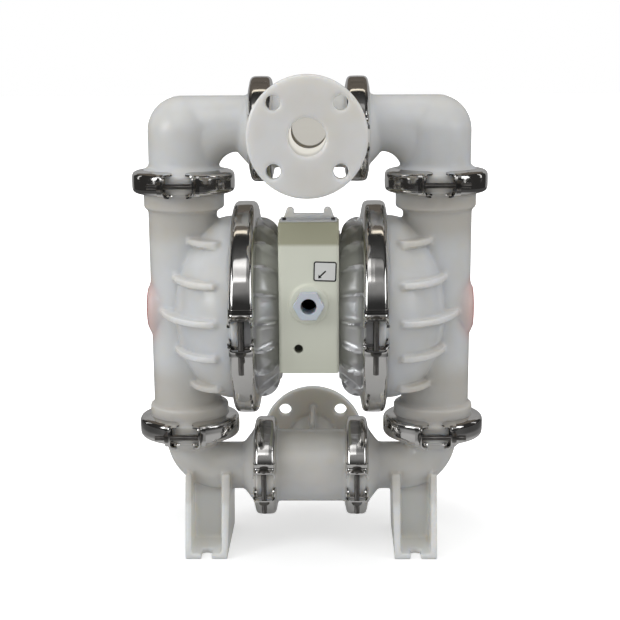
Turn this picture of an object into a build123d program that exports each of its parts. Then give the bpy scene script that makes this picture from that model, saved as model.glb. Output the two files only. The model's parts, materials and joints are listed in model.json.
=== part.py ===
from build123d import *
from collections import namedtuple
import math
import os

# Double diaphragm pump driven by air. X runs across the pump, Y to the back, Z up.
# The origin is on the floor, midway between the feet. Lengths are in millimetres.

# Where the main axes and joint planes lie: the heights stack up from the floor
riser_x = 174.0
inlet_z = 117.0
lower_joint_rise = 63.0
chamber_rise = 170.0
upper_joint_rise = 177.0
discharge_rise = 70.0
lower_joint_z = inlet_z + lower_joint_rise
chamber_z = lower_joint_z + chamber_rise
upper_joint_z = chamber_z + upper_joint_rise
discharge_z = upper_joint_z + discharge_rise
chamber_joint_x = 88.5
manifold_joint_x = 65.0

# Pipe flanges of the two manifolds
flange_reach = 164.5
flange_radius = 77.5
flange_thickness = 20.0
bolt_circle = 120.65
bolt_hole_radius = 9.525
bolt_count = 4
flange_edge = 1.5
port_radius = 24.0
branch_wall = 12.0
tee_bore_radius = 38.0
tee_wall = 14.0
tee_radius = tee_bore_radius + tee_wall
gusset_foot = 14.0
gusset_top = 5.0

# Band clamps: outside radius, depth of the channel, half widths, sheet thickness
ClampSize = namedtuple("ClampSize", "radius depth crown mouth wall corner")
chamber_clamp_radius = 148.6
chamber_clamp_depth = 20.0
chamber_clamp_crown = 15.0
chamber_clamp_mouth = 18.5
chamber_clamp_wall = 3.0
chamber_clamp_corner = 6.0
pipe_clamp_radius = 70.9
pipe_clamp_depth = 15.0
pipe_clamp_crown = 13.5
pipe_clamp_mouth = 16.7
pipe_clamp_wall = 2.5
pipe_clamp_corner = 5.0
chamber_clamp = ClampSize(
    chamber_clamp_radius, chamber_clamp_depth, chamber_clamp_crown,
    chamber_clamp_mouth, chamber_clamp_wall, chamber_clamp_corner,
)
pipe_clamp = ClampSize(
    pipe_clamp_radius, pipe_clamp_depth, pipe_clamp_crown,
    pipe_clamp_mouth, pipe_clamp_wall, pipe_clamp_corner,
)
rim_clearance = 2.6
seat_clearance = 0.2
neck_clearance = 0.4
plate_half_gap = 18.0
ring_half_gap = 8.0
plate_thickness = 3.0
plate_edge = 7.0
chamber_clamp_turn = 2.9
manifold_clamp_turn = 4.8

# Carriage bolts and nuts of the clamps
bolt_radius = 3.9
bolt_offset = 7.2
bolt_head_radius = 7.7
bolt_head_height = 4.5
bolt_head_rim = 1.2
bolt_head_dome = 3.6
bolt_head_flat = 5.4
chamber_bolt_tail = 55.0
pipe_bolt_tail = 42.0
nut_across_flats = 12.7
nut_height = 7.0
hole_clearance = 0.4

# How far a cut runs past a face, and a joined solid into its neighbour
over = 1.0

# Liquid chambers
chamber_wall = 8.0
dome_depth = 84.0
riser_radius = 47.5
riser_bore_radius = 40.0
riser_lean = 2.5
collar_radius = 55.5
upper_collar_height = 19.0
lower_collar_height = 14.5
collar_chamfer = 4.0
boss_radius = 38.5
boss_length = 52.6
boss_reach = riser_x + boss_length
boss_round = 8.0
boss_bevel = 2.5
fin_count = 5
fin_pitch = 50.0
fin_thickness = 8.5
fin_radius = 133.0
fin_length = 84.0
fin_shortening = 18.0
fin_shoulder = 20.0
fin_gap = 4.0

# Ball valves
ball_radius = 30.0
ball_lift = 12.0
ball_clearance = 0.6
seat_radius = 44.0
seat_height = 12.0
seat_bore_radius = 23.5
seat_land = 2.0
seat_contact_radius = seat_bore_radius + seat_land
seat_contact_depth = 3.0
cage_rib_thickness = 7.0
cage_clearance = 1.5
cage_stop_radius = 8.0
cage_stop_height = 9.0
ring_gap = 4.0
ring_radius = seat_radius + ring_gap
ring_section = 2.2

# Discharge elbows
elbow_radius = 47.5
elbow_wall = 8.5
leg_radius = 38.0
leg_wall = 9.0
leg_rise = 7.5
leg_z = discharge_z + leg_rise
leg_flare = 14.0
crown_drop = 2.0
arch_radius = 28.0
crown_z = discharge_z - crown_drop
flare_step = 6.0

# Inlet elbows with their feet
inlet_tube_radius = 34.0
inlet_tube_wall = 9.0
inlet_bend_radius = 43.0
inlet_flare = 15.0
foot_inset = 25.5
foot_x = riser_x - foot_inset
foot_width = 60.0
foot_depth = 152.0
foot_rib = 8.5
foot_flare = 4.0
foot_pad = 8.0
foot_web = 8.0
foot_slot_width = 14.0
foot_slot_depth = 26.0
foot_shoulder_z = 16.0
foot_top_y = 48.0

# Air chambers, diaphragms, pistons and shaft
block_half_width = 40.3
air_wall = 6.0
air_inner_radius = 100.0
air_outer_radius = 125.0
air_rib_count = 20
air_rib_thickness = 4.0
air_rib_rise = 9.0
air_rib_root = 4.0
air_rib_start = 1.0
air_edge = 3.0
bead_half = 4.0
bead_inner_radius = 122.0
bead_outer_radius = 140.0
web_thickness = 5.0
web_dish = 12.0
web_blend = 4.0
hub_thickness = 6.0
inner_piston_radius = 55.0
inner_piston_height = 19.5
piston_edge = 4.0
piston_rim = 5.0
piston_back_step = 9.0
outer_piston_radius = 52.0
outer_piston_height = 21.0
outer_piston_top = 30.0
piston_cap_thickness = 6.5
shaft_radius = 11.0
shaft_clearance = 0.05
shaft_hole_clearance = 1.0
stroke = 18.0
bushing_radius = 15.0
bushing_length = 22.0
seal_length = 6.0

# Centre block: its heights are taken from the axis of the shaft
block_front_y = 112.0
block_bottom_z = chamber_z - 70.0
block_shoulder_z = chamber_z + 103.0
block_top_z = chamber_z + 132.0
block_top_y = 100.0
block_top_depth = 44.0
block_edge = 3.0
air_way_radius = 8.0
air_way_z = chamber_z + 70.0
air_way_y = 66.0

# Air inlet bushing on the front of the block
air_port_z = chamber_z + 24.5
port_boss_radius = 26.0
port_boss_height = 4.0
hex_across_flats = 36.0
hex_height = 15.0
bushing_bore = 10.5
bushing_shank_radius = 16.7
bushing_shank_length = 22.0
gauge_port_x = -14.0
gauge_port_z = chamber_z - 36.3
gauge_port_radius = 5.8
gauge_port_depth = 20.0
label_x = 22.0
label_z = chamber_z + 68.5
label_width = 30.5
label_height = 26.5
label_thickness = 0.6
disc_radius = 29.5

# Air valve on the back of the block
valve_half_width = 37.0
valve_height = 66.0
valve_depth = 40.0
gasket_thickness = 1.5
spool_radius = 13.0
spool_half_length = 28.0
spool_travel = 6.0
spool_land = 10.0
spool_waist_radius = 7.5
end_cap_thickness = 5.0
end_cap_radius = 19.0
valve_screw_radius = 3.0
valve_screw_head_radius = 5.4
valve_screw_head_height = 4.8
valve_screw_inset = 8.0
valve_screw_depth = 18.0
pilot_radius = 4.5
pilot_z = chamber_z + 38.0
pilot_travel = 3.0
pilot_clearance = 0.3
muffler_radius = 19.0
muffler_length = 48.0
muffler_z = chamber_z - 28.0
muffler_thread_radius = 12.0
muffler_thread_length = 16.0
muffler_ring_count = 6
muffler_ring_depth = 4.0
exhaust_chamber_depth = 10.0

# Cover on top of the block
cover_half_width = 38.0
cover_inset = 1.0
cover_depth = 42.0
cover_thickness = 2.0
cover_bar_height = 5.5
cover_leg_depth = 14.0
cover_leg_height = 14.0
cover_leg_width = 14.0
cover_leg_top = 10.0
cover_leg_round = 3.0
cover_leg_x = 27.0
cover_screw_x = 32.3
cover_screw_inset = 11.0
cover_head_radius = 2.7
cover_screw_radius = 1.5
screw_radius = 2.5
screw_head_radius = 4.6
screw_head_height = 3.0
screw_depth = 12.0
chamber_screw_y = 58.0
chamber_screw_z = 47.0


# Solids turned about one of the three directions
def turned_x(points, z):
    face = make_face(Plane.XZ * Polyline(*[(x, z + r) for x, r in points], close=True))
    return revolve(face, Axis((0, 0, z), (1, 0, 0)))


def turned_y(points, z, x=0.0):
    face = make_face(Plane.XY * Polyline(*[(x + r, y) for y, r in points], close=True))
    return Pos(0, 0, z) * revolve(face, Axis((x, 0, 0), (0, 1, 0)))


def turned_z(points, x):
    face = make_face(Plane.XZ * Polyline(*[(x + r, z) for r, z in points], close=True))
    return revolve(face, Axis((x, 0, 0), (0, 0, 1)))


def bar(x0, x1, y0, y1, z0, z1):
    return Pos((x0 + x1) / 2, (y0 + y1) / 2, (z0 + z1) / 2) * Box(x1 - x0, y1 - y0, z1 - z0)


def rod_x(radius, x0, x1, y, z):
    return Pos((x0 + x1) / 2, y, z) * Rot(0, 90, 0) * Cylinder(radius, x1 - x0)


def rod_y(radius, y0, y1, x, z):
    return Pos(x, (y0 + y1) / 2, z) * Rot(90, 0, 0) * Cylinder(radius, y1 - y0)


def rod_z(radius, z0, z1, x, y):
    return Pos(x, y, (z0 + z1) / 2) * Cylinder(radius, z1 - z0)


def half_ellipsoid(x, z, length, radius):
    arc = EllipticalCenterArc((x, z), length, radius, 0, arc_size=90)
    outline = arc + Polyline((x, z + radius), (x, z), (x + length, z))
    return revolve(make_face(Plane.XZ * outline), Axis((0, 0, z), (1, 0, 0)))


def mirrored(piece):
    return mirror(piece, about=Plane.YZ)


# Band clamp: a channel of bent sheet in two halves, with bolting plates at the ends
def flank_slope(size):
    return (size.mouth - size.crown) / size.depth


def inner_half_width(size, radius):
    sheet = size.wall * math.hypot(1.0, flank_slope(size))
    return size.crown + (size.radius - radius) * flank_slope(size) - sheet


def clamp_ring(size):
    foot = size.radius - size.depth
    roof = size.radius - size.wall
    below = foot - size.depth
    outer = Polyline(
        (-size.mouth, foot), (-size.crown, size.radius), (size.crown, size.radius),
        (size.mouth, foot), (size.mouth, below), (-size.mouth, below), close=True)
    inner = Polyline(
        (-inner_half_width(size, below), below), (-inner_half_width(size, roof), roof),
        (inner_half_width(size, roof), roof), (inner_half_width(size, below), below), close=True)
    shell = make_face(outer)
    shell = fillet(shell.vertices().group_by(Axis.Y)[-1], size.corner)
    hollow = make_face(inner)
    inside_corner = max(size.corner - size.wall, size.wall / 4)
    hollow = fillet(hollow.vertices().group_by(Axis.Y)[-1], inside_corner)
    keep = Pos(0, size.radius) * Rectangle(4 * size.mouth, 2 * size.depth)
    return revolve(Plane.XZ * ((shell - hollow) & keep), Axis.X)


def clamp_half(size, side):
    reach = 2 * size.radius
    keep = bar(-reach, reach, -reach, reach, ring_half_gap, reach)
    half = clamp_ring(size) & keep
    plate_x = inner_half_width(size, size.radius)
    bolt_y = size.radius + bolt_offset
    for end in (-1, 1):
        inside = math.sqrt((size.radius - size.wall / 2) ** 2 - plate_half_gap ** 2)
        outside = bolt_y + plate_edge
        ends = sorted((end * inside, end * outside))
        notch_ends = sorted((end * (size.radius - 2 * size.depth), end * outside))
        notch = bar(-plate_x, plate_x, *notch_ends, 0, plate_half_gap)
        top = plate_half_gap + plate_thickness
        plate = bar(-size.crown, size.crown, *ends, plate_half_gap, top)
        hole = rod_z(bolt_radius + hole_clearance, 0, 2 * top, 0, end * bolt_y)
        half = half - notch + plate - hole
    return half if side > 0 else Rot(180, 0, 0) * half


def clamp_bolt(size, end, tail):
    bolt_y = end * (size.radius + bolt_offset)
    head_z = plate_half_gap + plate_thickness
    shank = rod_z(bolt_radius, -tail, head_z + over, 0, bolt_y)
    cap = [(0, head_z), (bolt_head_radius, head_z), (bolt_head_radius, head_z + bolt_head_rim),
           (bolt_head_flat, head_z + bolt_head_dome), (0, head_z + bolt_head_height)]
    return shank + Pos(0, bolt_y, 0) * turned_z(cap, 0)


def clamp_nut(size, end):
    bolt_y = end * (size.radius + bolt_offset)
    top = -plate_half_gap - plate_thickness
    hexagon = RegularPolygon(nut_across_flats / 2, 6, major_radius=False)
    nut = Pos(0, bolt_y, top - nut_height) * extrude(hexagon, nut_height)
    return nut - rod_z(bolt_radius + shaft_clearance, 2 * top, 0, 0, bolt_y)


# Flange lip that a band clamp grips: from the joint plane at 0 out to the back of the clamp
def lip_profile(size, bore, face, neck):
    rim = size.radius - size.wall - rim_clearance
    foot = size.radius - size.depth
    return [
        (face, bore), (face, rim),
        (inner_half_width(size, rim) - seat_clearance, rim),
        (inner_half_width(size, foot) - seat_clearance, foot),
        (size.mouth + seat_clearance, neck), (size.mouth + seat_clearance, bore),
    ]


def lip_x(size, bore, face, neck, x, z):
    return turned_x([(x + a, r) for a, r in lip_profile(size, bore, face, neck)], z)


def lip_up(size, bore, neck, x, z, way):
    return turned_z([(r, z + way * a) for a, r in lip_profile(size, bore, 0, neck)], x)


# Ball valve parts
def ball_rest_height():
    drop = math.sqrt(ball_radius ** 2 - seat_contact_radius ** 2)
    return drop - seat_contact_depth + ball_clearance


def cage_ribs(x, joint_z, bore_radius, angles):
    top = joint_z + ball_rest_height() + ball_lift + ball_radius
    ribs = []
    for angle in angles:
        guide = ball_radius + cage_clearance
        rib = bar(guide, bore_radius + over, -cage_rib_thickness / 2, cage_rib_thickness / 2,
                  joint_z + seat_clearance, top)
        stop = bar(cage_stop_radius, bore_radius + over, -cage_rib_thickness / 2, cage_rib_thickness / 2,
                   top, top + cage_stop_height)
        ribs.append(Pos(x, 0, 0) * Rot(0, 0, angle) * (rib + stop))
    return ribs


def valve_seat(x, joint_z):
    slope = seat_contact_radius / math.sqrt(ball_radius ** 2 - seat_contact_radius ** 2)
    mouth = seat_contact_radius + seat_contact_depth / slope
    throat = joint_z - seat_contact_depth - (seat_contact_radius - seat_bore_radius) * slope
    low = joint_z - seat_height
    return turned_z(
        [(seat_bore_radius, low), (seat_radius, low), (seat_radius, joint_z), (mouth, joint_z),
         (seat_bore_radius, throat)], x)


def seat_pocket(x, joint_z):
    return rod_z(seat_radius + seat_clearance, joint_z - seat_height, joint_z, x, 0)


def ring_z(x, z):
    return Pos(x, 0, z) * Torus(ring_radius, ring_section)


def ring_groove(x, z):
    return Pos(x, 0, z) * Torus(ring_radius, ring_section + seat_clearance)


def side_ring(x, z, clearance):
    return Pos(x, 0, z) * Rot(0, 90, 0) * Torus(ring_radius, ring_section + clearance)


def valve_ball(x, joint_z):
    return Pos(x, 0, joint_z + ball_rest_height()) * Sphere(ball_radius)


# Liquid chamber: dome over the diaphragm, riser tube, end boss and flow fins
def liquid_chamber():
    neck = chamber_clamp.radius - chamber_clamp.depth - neck_clearance
    start = chamber_joint_x + chamber_clamp.mouth
    face = chamber_joint_x + bead_half
    shell = lip_x(chamber_clamp, shaft_radius, bead_half, neck, chamber_joint_x, chamber_z)
    shell += half_ellipsoid(start, chamber_z, dome_depth, neck)
    for index in range(fin_count):
        level = index - (fin_count - 1) / 2
        reach = fin_length - fin_shortening * abs(level)
        width = math.sqrt(fin_radius ** 2 - (level * fin_pitch) ** 2)
        outline = EllipticalCenterArc((0, 0), reach, width, -90, arc_size=180)
        outline += EllipticalCenterArc((0, 0), fin_shoulder - fin_gap, width, 90, arc_size=180)
        fin = extrude(make_face(outline), fin_thickness / 2, both=True)
        shell += Pos(start + fin_shoulder, 0, chamber_z + level * fin_pitch) * fin
    lip_low = lower_joint_z + pipe_clamp.mouth
    lip_high = upper_joint_z - pipe_clamp.mouth
    shell += rod_z(riser_radius, lip_low, lip_high, riser_x + riser_lean, 0)
    shell += turned_z(
        [(0, lip_low), (collar_radius, lip_low), (collar_radius, lip_low + lower_collar_height),
         (riser_radius, lip_low + lower_collar_height + collar_chamfer),
         (0, lip_low + lower_collar_height + collar_chamfer)], riser_x)
    shell += turned_z(
        [(0, lip_high), (collar_radius, lip_high), (collar_radius, lip_high - upper_collar_height),
         (riser_radius, lip_high - upper_collar_height - collar_chamfer),
         (0, lip_high - upper_collar_height - collar_chamfer)], riser_x)
    shell += lip_up(pipe_clamp, 0, collar_radius, riser_x, lower_joint_z, 1)
    shell += lip_up(pipe_clamp, 0, collar_radius, riser_x, upper_joint_z, -1)
    shell += turned_x(
        [(riser_x, 0), (riser_x, boss_radius), (boss_reach - boss_round, boss_radius),
         (boss_reach - boss_bevel, boss_radius - boss_bevel),
         (boss_reach, boss_radius - boss_round), (boss_reach, 0)], chamber_z)
    shell -= half_ellipsoid(start, chamber_z, dome_depth - chamber_wall, neck - chamber_wall)
    shell -= rod_x(neck - chamber_wall, face - bead_half, start, 0, chamber_z)
    shell -= rod_x(boss_radius - chamber_wall, riser_x, boss_reach - chamber_wall, 0, chamber_z)
    shell -= rod_z(riser_bore_radius, lower_joint_z, upper_joint_z, riser_x, 0)
    shell -= seat_pocket(riser_x, upper_joint_z)
    shell -= ring_groove(riser_x, lower_joint_z)
    shell -= ring_groove(riser_x, upper_joint_z)
    for rib in cage_ribs(riser_x, lower_joint_z, riser_bore_radius, (45, 135, 225, 315)):
        shell += rib
    return shell


# Quarter bend of the leg's pipe about a point below it, so that the inner corner is an arch
def pipe_bend(x, z, inner_radius, way):
    middle = inner_radius + leg_radius
    face = Plane(origin=(x, 0, z + middle), z_dir=(way, 0, 0)) * Circle(leg_radius)
    return revolve(face, Axis((x, 0, z), (0, way, 0)), 90)


# Discharge elbow: riser socket below, eccentric leg to the manifold joint
def discharge_elbow():
    lip_low = upper_joint_z + pipe_clamp.mouth
    lip_end = manifold_joint_x + pipe_clamp.mouth
    elbow_bore_radius = elbow_radius - elbow_wall
    body = lip_up(pipe_clamp, 0, collar_radius, riser_x, upper_joint_z, 1)
    body += turned_z(
        [(0, lip_low), (collar_radius, lip_low), (elbow_radius, lip_low + collar_chamfer),
         (elbow_radius, crown_z), (0, crown_z)], riser_x)
    body += Pos(riser_x, 0, crown_z) * Sphere(elbow_radius)
    body += rod_x(leg_radius, lip_end, riser_x, 0, leg_z)
    body += pipe_bend(riser_x - elbow_radius - arch_radius, leg_z - leg_radius - arch_radius, arch_radius, 1)
    body += lip_x(pipe_clamp, 0, 0, collar_radius, manifold_joint_x, discharge_z)
    body += turned_x(
        [(lip_end, 0), (lip_end, collar_radius - flare_step),
         (lip_end + leg_flare, leg_radius - leg_rise / 2), (lip_end + leg_flare, 0)], discharge_z)
    body -= rod_z(elbow_bore_radius, upper_joint_z, crown_z, riser_x, 0)
    body -= Pos(riser_x, 0, crown_z) * Sphere(elbow_bore_radius)
    body -= rod_x(leg_radius - leg_wall, manifold_joint_x, riser_x, 0, leg_z)
    body -= ring_groove(riser_x, upper_joint_z)
    body -= side_ring(manifold_joint_x, discharge_z, seat_clearance)
    for rib in cage_ribs(riser_x, upper_joint_z, elbow_bore_radius, (0, 90, 270)):
        body += rib & rod_z(elbow_bore_radius + elbow_wall / 2, upper_joint_z, leg_z, riser_x, 0)
    return body


# Manifold tee: barrel across the pump, branch and bolted pipe flange towards the front or back
def manifold_tee(z, way):
    lip_end = manifold_joint_x - pipe_clamp.mouth
    barrel = rod_x(tee_radius, -lip_end, lip_end, 0, z)
    right = turned_x(
        [(manifold_joint_x - a, r) for a, r in lip_profile(pipe_clamp, port_radius, 0, tee_radius)], z)
    barrel += right + mirrored(right)
    face = way * flange_reach
    back = way * (flange_reach - flange_thickness)
    branch_radius = port_radius + branch_wall
    branch = turned_y(
        [(0, 0), (0, branch_radius), (back, branch_radius), (back, flange_radius - flange_edge),
         (back + way * flange_edge, flange_radius), (face - way * flange_edge, flange_radius),
         (face, flange_radius - flange_edge), (face, 0)], z)
    gusset = Polyline(
        (-gusset_top / 2, z - tee_radius), (gusset_top / 2, z - tee_radius), (gusset_foot / 2, z),
        (gusset_top / 2, z + tee_radius), (-gusset_top / 2, z + tee_radius), (-gusset_foot / 2, z), close=True)
    depth = abs(back) - tee_bore_radius
    middle = way * (abs(back) + tee_bore_radius) / 2
    gusset = Pos(0, middle, 0) * extrude(make_face(Plane.XZ * gusset), depth / 2, both=True)
    tee = barrel + branch + gusset
    tee -= rod_x(tee_bore_radius, -manifold_joint_x, manifold_joint_x, 0, z)
    low, high = sorted((0.0, face))
    tee -= rod_y(port_radius, low, high, 0, z)
    for index in range(bolt_count):
        angle = 2 * math.pi * (index + 0.5) / bolt_count
        x = bolt_circle / 2 * math.cos(angle)
        up = bolt_circle / 2 * math.sin(angle)
        low, high = sorted((face, back))
        tee -= rod_y(bolt_hole_radius, low - over, high + over, x, z + up)
    for side in (-1, 1):
        tee -= side_ring(side * manifold_joint_x, z, seat_clearance)
    return tee


# Inlet elbow, moulded in one piece with its foot
def inlet_elbow():
    lip_low = lower_joint_z - pipe_clamp.mouth
    lip_end = manifold_joint_x + pipe_clamp.mouth
    bend_x = riser_x - inlet_bend_radius
    bend_z = inlet_z + inlet_bend_radius
    bore_radius = inlet_tube_radius - inlet_tube_wall
    body = lip_up(pipe_clamp, 0, collar_radius, riser_x, lower_joint_z, -1)
    body += turned_z(
        [(0, lip_low), (collar_radius, lip_low), (collar_radius - flare_step, lip_low - flare_step / 2),
         (inlet_tube_radius, lip_low - inlet_flare), (0, lip_low - inlet_flare)], riser_x)
    bend_face = Plane(origin=(riser_x, 0, bend_z), z_dir=(0, 0, 1)) * Circle(inlet_tube_radius)
    body += revolve(bend_face, Axis((bend_x, 0, bend_z), (0, 1, 0)), 90)
    body += rod_x(inlet_tube_radius, lip_end, bend_x, 0, inlet_z)
    if lip_low > bend_z:
        body += rod_z(inlet_tube_radius, bend_z, lip_low, riser_x, 0)
    body += lip_x(pipe_clamp, 0, 0, collar_radius, manifold_joint_x, inlet_z)
    body += turned_x(
        [(lip_end, 0), (lip_end, collar_radius), (lip_end + flare_step / 2, collar_radius - flare_step),
         (lip_end + inlet_flare, inlet_tube_radius), (lip_end + inlet_flare, 0)], inlet_z)
    body += foot()
    bore_face = Plane(origin=(riser_x, 0, bend_z), z_dir=(0, 0, 1)) * Circle(bore_radius)
    body -= revolve(bore_face, Axis((bend_x, 0, bend_z), (0, 1, 0)), 90)
    body -= rod_x(bore_radius, manifold_joint_x, bend_x, 0, inlet_z)
    body -= rod_z(bore_radius, bend_z, lower_joint_z, riser_x, 0)
    body -= seat_pocket(riser_x, lower_joint_z)
    body -= ring_groove(riser_x, lower_joint_z)
    body -= side_ring(manifold_joint_x, inlet_z, seat_clearance)
    return body


def foot():
    left = foot_x - foot_width / 2
    right = foot_x + foot_width / 2
    half = foot_depth / 2
    inner = Polyline(
        (left, 0), (left + foot_rib, 0), (left + foot_rib, inlet_z), (left - foot_flare, inlet_z), close=True)
    outer = bar(right - foot_rib, right, -half, half, 0, inlet_z)
    ribs = outer + extrude(make_face(Plane.XZ * inner), half, both=True)
    side = Polyline(
        (-half, 0), (half, 0), (half, foot_shoulder_z), (foot_top_y, inlet_z), (-foot_top_y, inlet_z),
        (-half, foot_shoulder_z), close=True)
    ribs = ribs & extrude(make_face(Plane.YZ * side), 2 * riser_x, both=True)
    ribs += bar(left, right, -foot_web / 2, foot_web / 2, 0, inlet_z)
    ribs += bar(left, right, -half, half, 0, foot_pad)
    for way in (-1, 1):
        slot_end = way * (half - foot_slot_depth + foot_slot_width / 2)
        ribs -= rod_z(foot_slot_width / 2, -over, foot_pad + over, foot_x, slot_end)
        low, high = sorted((slot_end, way * (half + over)))
        ribs -= bar(foot_x - foot_slot_width / 2, foot_x + foot_slot_width / 2, low, high,
                    -over, foot_pad + over)
    return ribs


# Air chamber: cast dish with ribs round its cone
def air_chamber():
    neck = chamber_clamp.radius - chamber_clamp.depth - neck_clearance
    back = chamber_joint_x - chamber_clamp.mouth
    inside = block_half_width + air_wall
    lip = [(chamber_joint_x - a, r) for a, r in lip_profile(chamber_clamp, shaft_radius, bead_half, neck)]
    body = turned_x(lip, chamber_z)
    body += turned_x(
        [(block_half_width, 0), (block_half_width, air_inner_radius),
         (block_half_width + air_edge, air_inner_radius + air_edge),
         (back, air_outer_radius), (back, 0)], chamber_z)
    start = (block_half_width + air_edge, air_inner_radius + air_rib_start)
    end = (back + air_rib_start, air_outer_radius + air_rib_start)
    run = math.dist(start, end)
    middle = ((start[0] + end[0]) / 2 - (end[1] - start[1]) / run * air_rib_rise,
              (start[1] + end[1]) / 2 + (end[0] - start[0]) / run * air_rib_rise)
    root = ((start[0] + end[0]) / 2 + air_rib_root, (start[1] + end[1]) / 2 - air_rib_root)
    outline = ThreePointArc(start, middle, end) + Polyline(end, root, start)
    blade = extrude(make_face(Plane.XZ * outline), air_rib_thickness / 2, both=True)
    for index in range(air_rib_count):
        body += Pos(0, 0, chamber_z) * Rot(360 / air_rib_count * index, 0, 0) * blade
    cavity_radius = neck - chamber_wall
    body -= turned_x(
        [(inside, 0), (inside, air_inner_radius - air_wall), (back + air_wall, cavity_radius),
         (chamber_joint_x, cavity_radius), (chamber_joint_x, 0)], chamber_z)
    wall = (block_half_width - over, inside + over)
    body -= rod_x(shaft_radius + shaft_hole_clearance, *wall, 0, chamber_z)
    body -= rod_x(pilot_radius + shaft_hole_clearance, *wall, 0, pilot_z)
    for y, z in chamber_screw_places():
        body -= rod_x(screw_radius + hole_clearance, *wall, y, z)
    return body


def chamber_screw_places():
    return [(way * chamber_screw_y, chamber_z + up * chamber_screw_z) for way in (-1, 1) for up in (-1, 1)]


def air_chamber_screws():
    inside = block_half_width + air_wall
    screws = []
    for y, z in chamber_screw_places():
        head = rod_x(screw_head_radius, inside, inside + screw_head_height, y, z)
        screws.append(head + rod_x(screw_radius, block_half_width - screw_depth, inside + over, y, z))
    return screws


# Diaphragm with its bead, and the two pistons that clamp its hub
def diaphragm():
    hub = hub_thickness / 2
    web = web_thickness / 2
    c = chamber_joint_x
    bore = chamber_z + shaft_radius + shaft_clearance
    hub_end = chamber_z + inner_piston_radius
    web_start = hub_end + web_blend
    bead_start = chamber_z + bead_inner_radius
    bead_end = chamber_z + bead_outer_radius
    web_end = bead_start - web_blend
    middle = (web_start + web_end) / 2
    outline = (
        Polyline((c - hub, bore), (c - hub, hub_end), (c - web, web_start))
        + ThreePointArc((c - web, web_start), (c - web - web_dish, middle), (c - web, web_end))
        + Polyline((c - web, web_end), (c - bead_half, bead_start), (c - bead_half, bead_end),
                   (c + bead_half, bead_end), (c + bead_half, bead_start), (c + web, web_end))
        + ThreePointArc((c + web, web_end), (c + web - web_dish, middle), (c + web, web_start))
        + Polyline((c + web, web_start), (c + hub, hub_end), (c + hub, bore), (c - hub, bore))
    )
    return revolve(make_face(Plane.XZ * outline), Axis((0, 0, chamber_z), (1, 0, 0)))


def inner_piston_back():
    return chamber_joint_x - hub_thickness / 2 - inner_piston_height


def inner_piston():
    face = chamber_joint_x - hub_thickness / 2
    back = inner_piston_back()
    bore = shaft_radius + shaft_clearance
    rim = face - piston_edge - piston_rim
    return turned_x(
        [(face, bore), (face, inner_piston_radius - piston_edge), (face - piston_edge, inner_piston_radius),
         (rim, inner_piston_radius), (back, inner_piston_radius - piston_back_step), (back, bore)], chamber_z)


def outer_piston_top_x():
    return chamber_joint_x + hub_thickness / 2 + outer_piston_height


def outer_piston():
    face = chamber_joint_x + hub_thickness / 2
    top = outer_piston_top_x()
    bore = shaft_radius + shaft_clearance
    bottom = shaft_end() + seat_clearance
    return turned_x(
        [(face, bore), (face, outer_piston_radius - piston_edge), (face + piston_edge, outer_piston_radius),
         (face + piston_edge + piston_rim, outer_piston_radius), (top, outer_piston_top), (top, 0),
         (bottom, 0), (bottom, bore)], chamber_z)


def shaft_end():
    return outer_piston_top_x() - piston_cap_thickness


# The pilot spool reaches just short of the inner pistons, which push it at the ends of the stroke
def pilot_spool():
    end = inner_piston_back() - stroke + pilot_travel - pilot_clearance
    return rod_x(pilot_radius, -end, end, 0, pilot_z)


# Centre block with its air ways, and the bushings and seals of the shaft
def centre_block():
    side = Polyline(
        (-block_front_y, block_bottom_z), (block_front_y, block_bottom_z),
        (block_front_y, block_shoulder_z), (block_top_depth - block_top_y, block_top_z),
        (-block_top_y, block_top_z), (-block_front_y, block_shoulder_z), close=True)
    body = extrude(make_face(Plane.YZ * side), block_half_width, both=True)
    body = chamfer(body.edges().filter_by(Axis.Z), block_edge)
    body += rod_y(port_boss_radius, -block_front_y - port_boss_height, -block_front_y + port_boss_height, 0,
                  air_port_z)
    body -= rod_y(bushing_shank_radius + shaft_clearance, -block_front_y - port_boss_height - over,
                  -block_front_y + bushing_shank_length + over, 0, air_port_z)
    body -= rod_y(bushing_bore, -block_front_y, -air_way_y + air_way_radius, 0, air_port_z)
    body -= rod_z(air_way_radius, air_port_z, air_way_z, 0, -air_way_y)
    body -= rod_y(air_way_radius, -air_way_y, block_front_y + over, 0, air_way_z)
    body -= rod_y(gauge_port_radius, -block_front_y - over, -block_front_y + gauge_port_depth,
                  gauge_port_x, gauge_port_z)
    through = (-block_half_width - over, block_half_width + over)
    body -= rod_x(bushing_radius + shaft_clearance, *through, 0, chamber_z)
    body -= rod_x(pilot_radius + shaft_clearance, *through, 0, pilot_z)
    exhaust_start = block_front_y - muffler_thread_length - exhaust_chamber_depth
    body -= rod_y(muffler_thread_radius + shaft_clearance, exhaust_start, block_front_y + over, 0, muffler_z)
    for side in (-1, 1):
        for y, z in chamber_screw_places():
            depth = block_half_width - screw_depth - over
            ends = sorted((side * (block_half_width + over), side * depth))
            body -= rod_x(screw_radius + shaft_clearance, *ends, y, z)
    for x, y in cover_screw_places():
        body -= rod_z(cover_screw_radius + shaft_clearance, block_top_z - screw_depth, block_top_z + over, x, y)
    for x, z in valve_screw_places():
        body -= rod_y(valve_screw_radius + shaft_clearance, block_front_y - valve_screw_depth,
                      block_front_y + over, x, z)
    return body


def shaft_bushing():
    end = block_half_width - seal_length - seat_clearance
    bore = shaft_radius + shaft_clearance
    start = end - bushing_length
    return turned_x(
        [(start, bore), (start, bushing_radius), (end, bushing_radius), (end, bore)], chamber_z)


def shaft_seal():
    end = block_half_width
    bore = shaft_radius + shaft_clearance
    start = end - seal_length
    return turned_x(
        [(start, bore), (start, bushing_radius), (end, bushing_radius), (end, bore)], chamber_z)


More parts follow.
